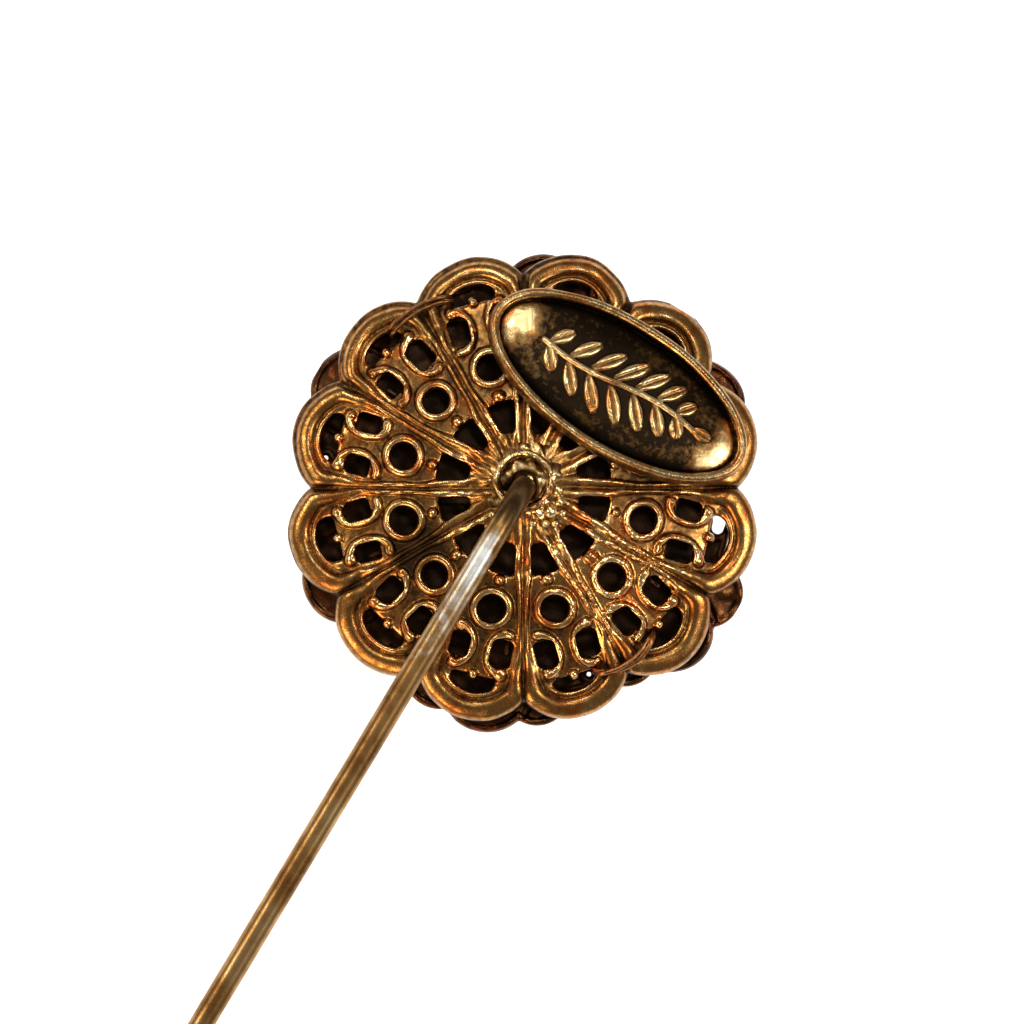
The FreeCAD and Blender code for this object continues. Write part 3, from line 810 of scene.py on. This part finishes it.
def make_flower():
    """Six petals, each ending in three thin-rimmed lobes, with a grainy skin."""
    shift_x, shift_y = FLOWER_SHIFT
    centre = np.array([HEAD[0] + shift_x, HEAD[1] + shift_y, FLOWER_TOP - FLOWER_R])
    step = FLOWER_STEP
    x, y, z, low = grid_about(centre, 10.9, -6.95, -4.9, step)
    _, _, sector = fold(x, y, FLOWER_PETALS, FLOWER_FIRST)
    habit = np.array(FLOWER_HABIT)[sector]
    turn = np.radians(habit[..., 0])
    wobble = 0.05 * waves(x, y, 1.5, 21)
    turned_x = x * np.cos(turn) + y * np.sin(turn)
    turned_y = y * np.cos(turn) - x * np.sin(turn)
    u, v, _ = fold(turned_x, turned_y, FLOWER_PETALS, FLOWER_FIRST)
    side = np.abs(v)
    swing = radians(SIDE_LOBE_TURN)
    middle = np.hypot(u - MIDDLE_LOBE[0], v) - MIDDLE_LOBE[1]
    side_u = SIDE_LOBE[0] + np.where(v > 0, habit[..., 2], habit[..., 1])
    outer = np.hypot(u - side_u * cos(swing), side - side_u * sin(swing)) - SIDE_LOBE[1]
    lobes = soft_min(middle, outer, 0.12)
    from_head = np.hypot(x + shift_x, y + shift_y)
    outline = np.minimum(lobes + wobble, from_head - FLOWER_DISC_R)
    for angle, radius, size in FLOWER_GAPS:
        gap_x, gap_y = polar(radius, angle)
        from_gap = np.hypot(x - (gap_x - shift_x), y - (gap_y - shift_y))
        outline = soft_max(outline, size - from_gap, 0.08)

    grain = 0.035 * waves(x, y, 0.35, 22) + 0.05 * waves(x, y, 1.1, 23)
    bead = ridge(outline + 0.16, 0.17, 0.10)
    veins = ridge(to_path(u, side, [(2.0, 0.0), (9.6, 0.0)]), 0.30, 0.13)
    veins = np.maximum(veins, ridge(to_path(u, side, [(5.4, 0.5), (9.2, 2.2)]), 0.20, 0.10))
    creases = ridge(middle, 0.14, 0.09) * (u > 7.6)
    back = grain + bead - creases
    front = 0.6 * grain + bead + veins
    height = np.sqrt(x * x + y * y + (z - centre[2]) ** 2) - FLOWER_R
    top = even(height - back, back, step)
    under = even(-height - FLOWER_T - front, front, step)
    field = soft_max(soft_max(top, under, 0.1), outline, 0.12)
    points, faces = skin(field, low, step)
    flower = mesh_object("flower_stamping", points, faces)
    grain_map = (waves(x, y, 0.35, 22) + 6 * bead + 4 * veins - 6 * creases)[:, :, 0]
    radius = np.hypot(points[:, 0] - centre[0], points[:, 1] - centre[1])
    # Painted shade: darker where the flower lies under the back plate, and its back, facing the
    # plate, is kept darker than its front.
    shade = 0.32 * (1 - ease(8.6, 9.3, radius))
    wear_and_painted_light = 0.16 + 0.16 * sample(grain_map, low, step, points) - shade
    set_wear_and_painted_light(flower, np.where(points[:, 2] < FLOWER_FRONT_Z, wear_and_painted_light + 0.3, wear_and_painted_light))
    place(flower, "pin", "dark_brass", SHADED_BRASS, "flower_rosette")


# ---- oval plaque

def sprig(x, y):
    """Raised height of a plain leafy sprig lying along the plaque."""
    stem_y = 0.22 * np.sin(0.8 * x)
    height = ridge(np.hypot(np.maximum(np.abs(x) - 3.7, 0), y - stem_y), 0.14, 0.21)
    leaves = [(3.5, 0.08, 2, 1.1, 0.26)]
    for k, length in enumerate(LEAF_LENGTHS):
        base_x = -3.5 + 1.02 * k
        base_y = 0.22 * sin(0.8 * base_x)
        leaves += [(base_x, base_y, angle, length, LEAF_HALF_W) for angle in (52, -50)]
    for base_x, base_y, angle, length, half_width in leaves:
        turn = radians(angle)
        along = (x - base_x) * cos(turn) + (y - base_y) * sin(turn)
        from_rib = (y - base_y) * cos(turn) - (x - base_x) * sin(turn)
        t = np.clip(along / length, 0, 1)
        inside = 4 * half_width * t * (1 - t) ** 0.8 - np.abs(from_rib)
        inside = np.where((along > 0) & (along < length), inside, -1.0)
        blade = 0.20 * np.clip(inside / 0.13, 0, 1) ** 0.5 - 0.12 * ridge(from_rib, 0.10, 1.0)
        height = np.maximum(height, np.where(inside > 0, blade, 0))
    return height


def make_plaque():
    """Oval with a rolled rim, a dark channel inside it and a cushioned middle."""
    long_half, short_half = PLAQUE_HALF
    low = np.array([-long_half, -short_half, 0]) - 0.2
    high = np.array([long_half, short_half, PLAQUE_T]) + 0.2
    step = PLAQUE_STEP
    x, y, z = grid(low, high, step)
    size = np.hypot(x / long_half, y / short_half)
    slope = np.hypot(x / long_half**2, y / short_half**2) / np.maximum(size, 1e-6)
    inside = (1 - size) / np.maximum(slope, 1 / long_half)
    inside = inside + 0.02 * waves(x, y, 1.5, 31)
    rim_at, rim_half_w, rim_height, rim_foot = PLAQUE_RIM
    rim = ridge(inside - rim_at, rim_half_w, rim_height) + rim_foot
    field_size = np.hypot(x / (long_half - 0.5), y / (short_half - 0.5))
    pillow = 0.28 + 0.58 * np.sqrt(np.clip(1 - field_size**2, 0, 1))
    pillow = pillow + 0.012 * waves(x, y, 0.5, 32) + 0.02 * waves(x, y, 1.4, 33)
    mark = sprig(x, y)
    surface = np.where(inside < rim_at + rim_half_w, rim, 0.24)
    surface = soft_max(surface, pillow + 0.7 * mark, 0.05)
    top = even(z - surface, surface, step)
    field = soft_max(soft_max(top, -z, 0.1), -inside, 0.12)
    points, faces = skin(field, low, step)

    where = node_centre("oval_plaque")
    out = where - HEAD
    spread = hypot(out[0], out[1])
    lean = asin(spread / (DOME_R + PLAQUE_LIFT + PLAQUE_T / 2))
    lean_axis = Vector((-out[1], out[0], 0))
    turn = Matrix.Rotation(lean, 3, lean_axis) @ Matrix.Rotation(radians(PLAQUE_TURN), 3, "Z")
    local = points - (0, 0, PLAQUE_T / 2)
    plaque = mesh_object("oval_plaque_sprig", local @ np.array(turn).T + where, faces)

    flat = surface[:, :, 0]
    proud = sample(flat - blur(flat, 7), low, step, points)
    ragged = 0.05 * waves(points[:, 0], points[:, 1], 0.8, 34)
    # The ends are brighter, partly rubbed metal and partly a painted highlight where the domed ends
    # face the side lights.
    ends = ease(0.66, 0.80, np.abs(points[:, 0]) / long_half + ragged)
    on_rim = 1 - ease(0.30, 0.46, sample(inside[:, :, 0], low, step, points))
    raised = sample(mark[:, :, 0], low, step, points) * (1 - on_rim)
    wear_and_painted_light = 0.12 + 2.2 * proud * (1 - on_rim) + 3.4 * raised + 0.66 * ends * (1 - on_rim)
    wear_and_painted_light += on_rim * (0.29 + 0.8 * np.clip(proud, -0.3, 0.3))
    set_wear_and_painted_light(plaque, wear_and_painted_light)
    place(plaque, "pin", "plaque_brass", PLAQUE_BRASS, "oval_plaque")


# ---- hub

def make_boss():
    """Small cup with a rolled edge that the stem's leg stands in, rough with old solder."""
    centre = HEAD + (*BOSS_SHIFT, 0)
    step = HUB_STEP
    x, y, z, low = grid_about(centre, 1.7, -3.8, -2.0, step)
    r = np.hypot(x, y) + 0.05 * waves(x, y, 0.9, 41, z)
    ring = np.hypot(r - BOSS_RING_R, z - BOSS_RING_Z) - BOSS_TUBE_R
    wall = soft_max(r - BOSS_RING_R - 0.10, z - (BOSS_RING_Z - 0.04), 0.1)
    pool = -2.80 + 0.13 * waves(x, y, 0.42, 42) + 0.16 * ridge(r - 0.66, 0.3, 1.0)
    pool -= 0.30 * spot_near(x, y, 0.5, 20.0, 0.9)
    cup = soft_max(r - BOSS_RING_R + 0.10, pool - z, 0.10)
    body = soft_min(ring, soft_max(wall, -cup, 0.08), 0.12)
    rough = 0.05 * waves(x, y, 0.40, 43, z) + 0.03 * waves(x, y, 0.17, 44, z)
    field = soft_max(body + rough, -3.7 - z, 0.05)
    points, faces = skin(field, low, step)
    boss = mesh_object("stem_boss_cup", points, faces)
    px, py, pz = (points - (centre[0], centre[1], 0)).T
    radius = np.hypot(px, py)
    wear_and_painted_light = 0.42 + 0.32 * ease(0.80, 1.12, radius) * ease(-2.9, -2.4, pz)
    wear_and_painted_light += 0.25 * waves(px, py, 0.40, 43, pz) + 0.12 * waves(px, py, 0.17, 44, pz)
    toward_shank = ease(0.1, 0.9, px / np.maximum(radius, 0.3))
    # Darker on the side toward the shank.
    set_wear_and_painted_light(boss, wear_and_painted_light - 0.25 * toward_shank)
    place(boss, "pin", "boss_brass", HUB_BRASS, "stem_boss")


def make_boss_solder():
    """Uneven flange of solder between the cup and the plate, with runs and beads of it."""
    step = HUB_STEP
    x, y, z, low = grid_about(HEAD, 2.6, -3.8, -2.3, step)
    r = np.hypot(x - 0.5 * BOSS_SHIFT[0], y - 0.5 * BOSS_SHIFT[1])
    r = r + 0.14 * waves(x, y, 1.1, 51)
    slope = -3.62 + 0.72 * np.sqrt(np.clip(1.05 - (r / SOLDER_R) ** 2, 0, 1))
    rough = 1 + spot_near(x, y, 1.6, SPATTER_AND_HIGHLIGHT_TURN, 1.5)
    slope += 0.085 * waves(x, y, 0.42, 52) + 0.05 * rough * waves(x, y, 0.2, 53)
    field = soft_max(z - slope, r - SOLDER_R, 0.15)
    for distance, angle, radius in SOLDER_BEADS:
        bead_x, bead_y = polar(distance, angle)
        away = np.sqrt((x - bead_x) ** 2 + (y - bead_y) ** 2 + (z - SOLDER_BEAD_Z) ** 2)
        field = soft_min(field, away - radius, 0.12)
    field = soft_max(field + 0.012 * waves(x, y, 0.16, 54, z), -3.72 - z, 0.05)
    points, faces = skin(field, low, step)
    solder = mesh_object("boss_solder_flange", points, faces)
    px, py, pz = (points - (HEAD[0], HEAD[1], 0)).T
    wear_and_painted_light = 0.42 + 0.9 * (pz + 3.12) + 0.25 * waves(px, py, 0.35, 55, pz)
    # Partly rougher solder and partly a painted highlight: the solder is brighter on the side where
    # it spattered, facing the right-hand lights.
    wear_and_painted_light += 0.45 * spot_near(px, py, 1.6, SPATTER_AND_HIGHLIGHT_TURN, 1.6)
    near_shank = ease(0.0, 1.0, px / 1.6) * ease(2.2, 1.0, np.hypot(px, py))
    # Darker on the shank's side of the hub.
    set_wear_and_painted_light(solder, wear_and_painted_light - 0.4 * near_shank)
    place(solder, "pin", "solder", HUB_BRASS, "boss_solder")


# ---- stem and wires

def make_stem():
    """Leg, square bend, shank and tapered point, one piece of drawn wire."""
    low, high = node_box("pin_stem")
    radius = half_size("pin_stem", 1)
    bend = -HEAD[0]
    path = [(HEAD[0], 0, z) for z in np.linspace(low[2], -bend, 6)[:-1]]
    for angle in np.radians(np.linspace(180, 90, 20)):
        path.append((bend * cos(angle), 0, -bend + bend * sin(angle)))
    straight = high[0] - STEM_TAPER
    path += [(x, 0, 0) for x in np.linspace(0, straight, 70)[1:]]
    radii = [radius] * len(path)
    for t in np.linspace(0, 1, 24)[1:]:
        path.append((straight + STEM_TAPER * t, 0, 0))
        radii.append(radius * (1 - t) ** 0.92 + 0.06 * t * (1 - t**12))
    path = np.array(path)
    radii = np.array(radii) * (0.988 + 0.010 * waves(path[:, 0], 0, 3.0, 61, path[:, 2]))
    stem = sweep("pin_stem_wire", path, radii, (0, 1, 0), 40)
    flat = np.empty(3 * len(stem.data.vertices))
    stem.data.vertices.foreach_get("co", flat)
    px, py, pz = flat.reshape(-1, 3).T / MM
    from_leg = px - HEAD[0]
    # Painted shade darkens the leg and the bend, a painted highlight streaks the top of the shank
    # just past the bend, and a painted sheen lightens the top of the shank near the hub.
    painted_dark_bend = 1 - ease(1.3, 2.6, from_leg + 0.25 * waves(px, py, 0.6, 62, pz))
    along = np.exp(-(((from_leg - 3.4) / 1.3) ** 2))
    painted_highlight = along * ease(0.70, 0.99, (pz - 0.20 * py) / radius)
    sheen = np.exp(-(((from_leg - 4.5) / 4.0) ** 2)) * ease(0.1, 0.9, pz / radius)
    set_wear_and_painted_light(stem, 0.52 - 0.40 * painted_dark_bend + 0.34 * painted_highlight + 0.19 * sheen)
    place(stem, "pin", "stem_brass", STEM_BRASS, "pin_stem")


def finely(points, longest):
    """A closed run of flat points with its stretches cut into pieces about this long."""
    dense = []
    for (a, b), (c, d) in zip(points, points[1:] + points[:1]):
        pieces = max(1, int(hypot(c - a, d - b) / longest))
        dense += [(a + (c - a) * k / pieces, b + (d - b) * k / pieces) for k in range(pieces)]
    return np.array(dense)


def loop_path(half_w, top, bottom, corner):
    """A closed round-cornered rectangle, as (sideways, upwards) points."""
    right, above, below = half_w - corner, top - corner, bottom + corner
    points = []
    for k, spot in enumerate([(right, above), (-right, above), (-right, below), (right, below)]):
        points += arc_points(spot, (corner, corner), 90 * k, 90 * k + 90, 9)
    return finely(points, 0.12)


def make_tie(node, legs, bow, wire_r, gap, turns, seed):
    """Two strands, side by side or twisted, over the plate's notch and through the flower."""
    low, high = node_box(node)
    start, end = (HEAD[:2] + polar(radius, angle) for angle, radius in legs)
    half_w = np.linalg.norm(end - start) / 2
    across = (end - start) / (2 * half_w)
    out = np.array([-across[1], across[0]])
    out *= np.sign(out @ ((start + end) / 2 - HEAD[:2]))
    strands = []
    for strand in (0, 1):
        flat = loop_path(half_w, high[2] - wire_r - 0.02, low[2] + wire_r, 0.45)
        run = np.linspace(0, 1, len(flat), endpoint=False)
        phase = 2 * pi * (turns * run + strand / 2) + 0.3
        loose = 0.05 * waves(run * 6, strand, 1.0, seed) * np.sin(pi * run) ** 2
        upper = ease(low[2] + 0.8, high[2] - 0.3, flat[:, 1])
        belly = bow * upper * (1 - (flat[:, 0] / half_w) ** 2)
        sideways = belly + gap * np.cos(phase) + loose
        path = np.empty((len(flat), 3))
        path[:, :2] = (start + end) / 2 + flat[:, :1] * across + sideways[:, None] * out
        path[:, 2] = flat[:, 1] + (gap * np.sin(phase) if turns else 0)
        strands.append(sweep(f"strand_{strand}", path, wire_r, (*out, 0), 12, closed=True))
    place(join(node + "_strands", strands), "pin", "fine_wire", WIRE_BRASS, node)


def make_ring_wire(node):
    centre = node_centre(node)
    wire_r = half_size(node, 2)
    ring_r = half_size(node, 0) - wire_r
    turn = np.linspace(0, 2 * pi, 144, endpoint=False)
    path = np.stack([ring_r * np.cos(turn), ring_r * np.sin(turn), 0 * turn], axis=1) + centre
    ring = sweep(node + "_round", path, wire_r, (0, 0, 1), 12, closed=True)
    place(ring, "pin", "fine_wire", WIRE_BRASS, node)


def make_lashings():
    """A loop round the pearls' wire at each of the flower's petals."""
    low, high = node_box("ring_lashings")
    wire_r = 0.09
    ring_r = half_size("pearl_ring_wire", 0) - half_size("pearl_ring_wire", 2)
    loops = []
    for k in range(FLOWER_PETALS):
        flat = loop_path(0.28, high[2] - wire_r, low[2] + wire_r, 0.22)
        out = np.array([*polar(1, FLOWER_FIRST + 360 / FLOWER_PETALS * k), 0])
        path = (ring_r + flat[:, :1]) * out
        path[:, :2] += HEAD[:2]
        path[:, 2] = flat[:, 1]
        loops.append(sweep(f"loop_{k}", path, wire_r, (-out[1], out[0], 0), 10, closed=True))
    place(join("ring_lashing_loops", loops), "pin", "fine_wire", WIRE_BRASS, "ring_lashings")


# ---- pearls, stones and beads

PEARL_LOOK = ("pearl", PEARL_COAT)
SEED_LOOK = ("seed_glass", SEED_GLASS)


def make_bead(name, node, radius, hole_r, axis, seed, look, squash=1.0, around=40):
    """A slightly uneven bead with an eased bore; look is its slot, which is not used, and its
    material.
    """
    start = degrees(asin(hole_r * 1.6 / radius))
    profile = arc_points((0, 0), (radius, radius * squash), 90 - start, start - 90, 26)
    reach = profile[0][1]
    profile += [(hole_r, -reach + 0.03), (hole_r, 0.0), (hole_r, reach - 0.03)]

    def uneven(r, h, turn):
        swell = 0.985 + 0.012 * waves(r * np.cos(turn), r * np.sin(turn), radius * 1.3, seed, h)
        return np.where(r > hole_r * 1.01, r * swell, r), h * 0.985

    bead = lathe(name, profile, node_centre(node), axis, around, closed=True, shape=uneven)
    place(bead, "pin", *look, node)


def tangent(node):
    """Direction round the head's axis at a node."""
    out = node_centre(node) - HEAD
    return (-out[1], out[0], 0)


def make_setting(node, stone_node, number):
    """A cup whose edge is cut into six claws that fold over the stone."""
    low, high = node_box(node)
    radius = half_size(node, 0)
    depth = high[2] - low[2]
    section = [(0.03, 0.0)]
    for share, rise in SETTING_SECTION:
        section.append((radius * share, rise if rise >= 0 else depth + rise))
    section.append((0.03, depth - 0.43))

    def claws(r, h, turn):
        claw = np.clip(np.cos(CLAWS * turn), 0, 1) ** 2
        lip = ease(depth - 0.36, depth - 0.16, h) * (r > radius * 0.6)
        return r - 0.16 * claw * lip, h + (0.22 * claw - 0.07) * lip

    spot = (*node_centre(node)[:2], high[2])
    cup = lathe(f"claw_cup_{number}", section, spot, (0, 0, -1), 72, shape=claws)
    cup.data.set_sharp_from_angle(angle=radians(40))
    place(cup, "pin", "setting", SETTING_BRASS, node)

    low, high = node_box(stone_node)
    spot = node_centre(stone_node)
    radius = half_size(stone_node, 0) * 0.97
    stone = bmesh.new()
    for scale, rise, count, first in STONE_RINGS:
        for corner in range(count):
            x, y = polar(radius * scale, first + 360 / count * corner)
            stone.verts.new(Vector((spot[0] + x, spot[1] + y, high[2] - rise)) * MM)
    bmesh.ops.convex_hull(stone, input=stone.verts)
    bmesh.ops.dissolve_limit(stone, angle_limit=radians(1), verts=stone.verts, edges=stone.edges)
    data = bpy.data.meshes.new("cut_stone")
    stone.to_mesh(data)
    stone.free()
    piece = new_object(f"cut_stone_{number}", data)
    place(piece, "pin", "stone", STONE_GLASS, stone_node)


def make_centre():
    """Large pearl under a scalloped cap, on a pin with a ball for a head."""
    node = "centre_pearl"
    radius = half_size(node, 0)
    make_bead("centre_pearl_drop", node, radius, 0.21, (0, 0, 1), 200, PEARL_LOOK, around=80)

    spot = node_centre(node)
    low, high = node_box("centre_cap")
    outer = high[2] - spot[2]
    rim = degrees(asin((low[2] - spot[2]) / outer)) + 7
    section = arc_points((0, 0), (outer, outer), rim, 85, 22)
    section += arc_points((0, 0), (outer - 0.22, outer - 0.22), 85, rim, 22)

    def scallops(r, h, turn):
        size = np.hypot(r, h)
        rise = np.arctan2(h, r)
        near_rim = 1 - ease(radians(rim), radians(rim + 26), rise)
        petal = np.abs(np.cos(4 * turn))
        rise += radians(15) * (1 - petal**0.7) * near_rim
        rise -= radians(6) * near_rim * petal
        size -= 0.09 * (1 - petal) ** 2 * near_rim
        return size * np.cos(rise), size * np.sin(rise)

    cap = lathe("petal_cap", section, spot, (0, 0, 1), 128, closed=True, shape=scallops)
    place(cap, "pin", "inner_brass", INNER_BRASS, "centre_cap")

    low, high = node_box("centre_headpin")
    ball_r = half_size("centre_headpin", 0)
    section = arc_points((0, ball_r), (ball_r, ball_r), -88, 55, 18)
    length = high[2] - low[2]
    section += [(0.2, 1.75 * ball_r), (0.2, 2.2 * ball_r), (0.2, length - 0.05), (0.14, length)]
    pin = lathe("ball_headpin", section, (HEAD[0], HEAD[1], low[2]), (0, 0, 1), 32)
    place(pin, "pin", "fine_wire", WIRE_BRASS, "centre_headpin")


def make_front():
    for k in range(1, PEARLS + 1):
        node = f"ring_pearl_{k:02d}"
        radius = half_size(node, 2)
        make_bead(f"pearl_{k:02d}", node, radius, 0.17, tangent(node), 100 + k, PEARL_LOOK)
    for k in range(1, STONES + 1):
        make_setting(f"stone_setting_{k}", f"rhinestone_{k}", k)
        node = f"seed_bead_{k}"
        radius = half_size(node, 2)
        make_bead(f"seed_{k}", node, radius, 0.15, tangent(node), 150 + k, SEED_LOOK, 0.72)
    make_centre()
    make_ring_wire("pearl_ring_wire")
    make_ring_wire("seed_wire")
    make_lashings()


# ---- point guard

def make_guard():
    """Fluted barrel with a round end, and a beaded collar round its mouth."""
    low, high = node_box("guard_barrel")
    radius = half_size("guard_barrel", 1)
    length = high[0] - low[0]
    liner_r = half_size("guard_liner", 1)
    liner_length = 2 * half_size("guard_liner", 0)
    collar_length = 2 * half_size("guard_collar", 0)
    section = [(liner_r, 0.02), (radius - 0.05, 0.02), (radius - 0.03, collar_length + 0.1)]
    for groove in (2.3, 2.9, length - 3.3, length - 2.7):
        section += [(radius, groove - 0.2), (radius - 0.14, groove), (radius, groove + 0.2)]
    end_at = (radius - GUARD_END_R, length - GUARD_END_R)
    section += arc_points(end_at, (GUARD_END_R, GUARD_END_R), 0, 88, 14)
    section += [(0.05, length), (0.05, length - 1.25), (0.97, length - 1.3), (1.0, length - 1.6)]
    section += [(1.0, liner_length + 0.05), (liner_r, liner_length)]

    def fluted(r, h, turn):
        band = ease(3.3, 3.5, h) * (1 - ease(length - 3.9, length - 3.7, h))
        band *= r > radius - 0.06
        return r - 0.07 * np.abs(np.sin(FLUTES * turn)) * band, h

    section = finely(section, 0.35)
    spot = (low[0], *node_centre("guard_barrel")[1:])
    barrel = lathe("fluted_barrel", section, spot, (1, 0, 0), 144, closed=True, shape=fluted)
    barrel.data.set_sharp_from_angle(angle=radians(50))
    place(barrel, "guard", "guard_brass", GUARD_BRASS, "guard_barrel")

    outer = half_size("guard_collar", 1)
    section = [(radius - 0.04, 0.0), (outer - 0.12, 0.0), (outer - 0.10, 0.15)]
    section += arc_points((outer - 0.20, collar_length / 2), (0.20, 0.5), -75, 75, 11)
    section += [(outer - 0.10, collar_length - 0.15), (outer - 0.12, collar_length)]
    section.append((radius - 0.04, collar_length))

    def beaded(r, h, turn):
        crown = np.clip(1 - ((h - collar_length / 2) / 0.5) ** 2, 0, 1) * (r > outer - 0.13)
        return r - 0.11 * np.abs(np.sin(COLLAR_BEADS * turn)) ** 3 * crown, h

    collar = lathe("beaded_collar", section, spot, (1, 0, 0), 192, closed=True, shape=beaded)
    collar.data.set_sharp_from_angle(angle=radians(50))
    place(collar, "guard", "guard_brass", GUARD_BRASS, "guard_collar")


# ---- the whole pin

# CAD pieces that are shown as they are
KEPT_NODES = {"bead_carrier": INNER_BRASS, "plaque_solder": INNER_BRASS, "guard_liner": RUBBER}

make_back_plate()
make_flower()
make_plaque()
make_boss()
make_boss_solder()
make_stem()
make_tie("tie_wire_upper", UPPER_TIE, bow=0.30, wire_r=0.09, gap=0.11, turns=0, seed=71)
make_tie("tie_wire_lower", LOWER_TIE, bow=0.50, wire_r=0.11, gap=0.10, turns=2, seed=72)
make_front()
make_guard()

for name, material in KEPT_NODES.items():
    paint(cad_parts[name], material)
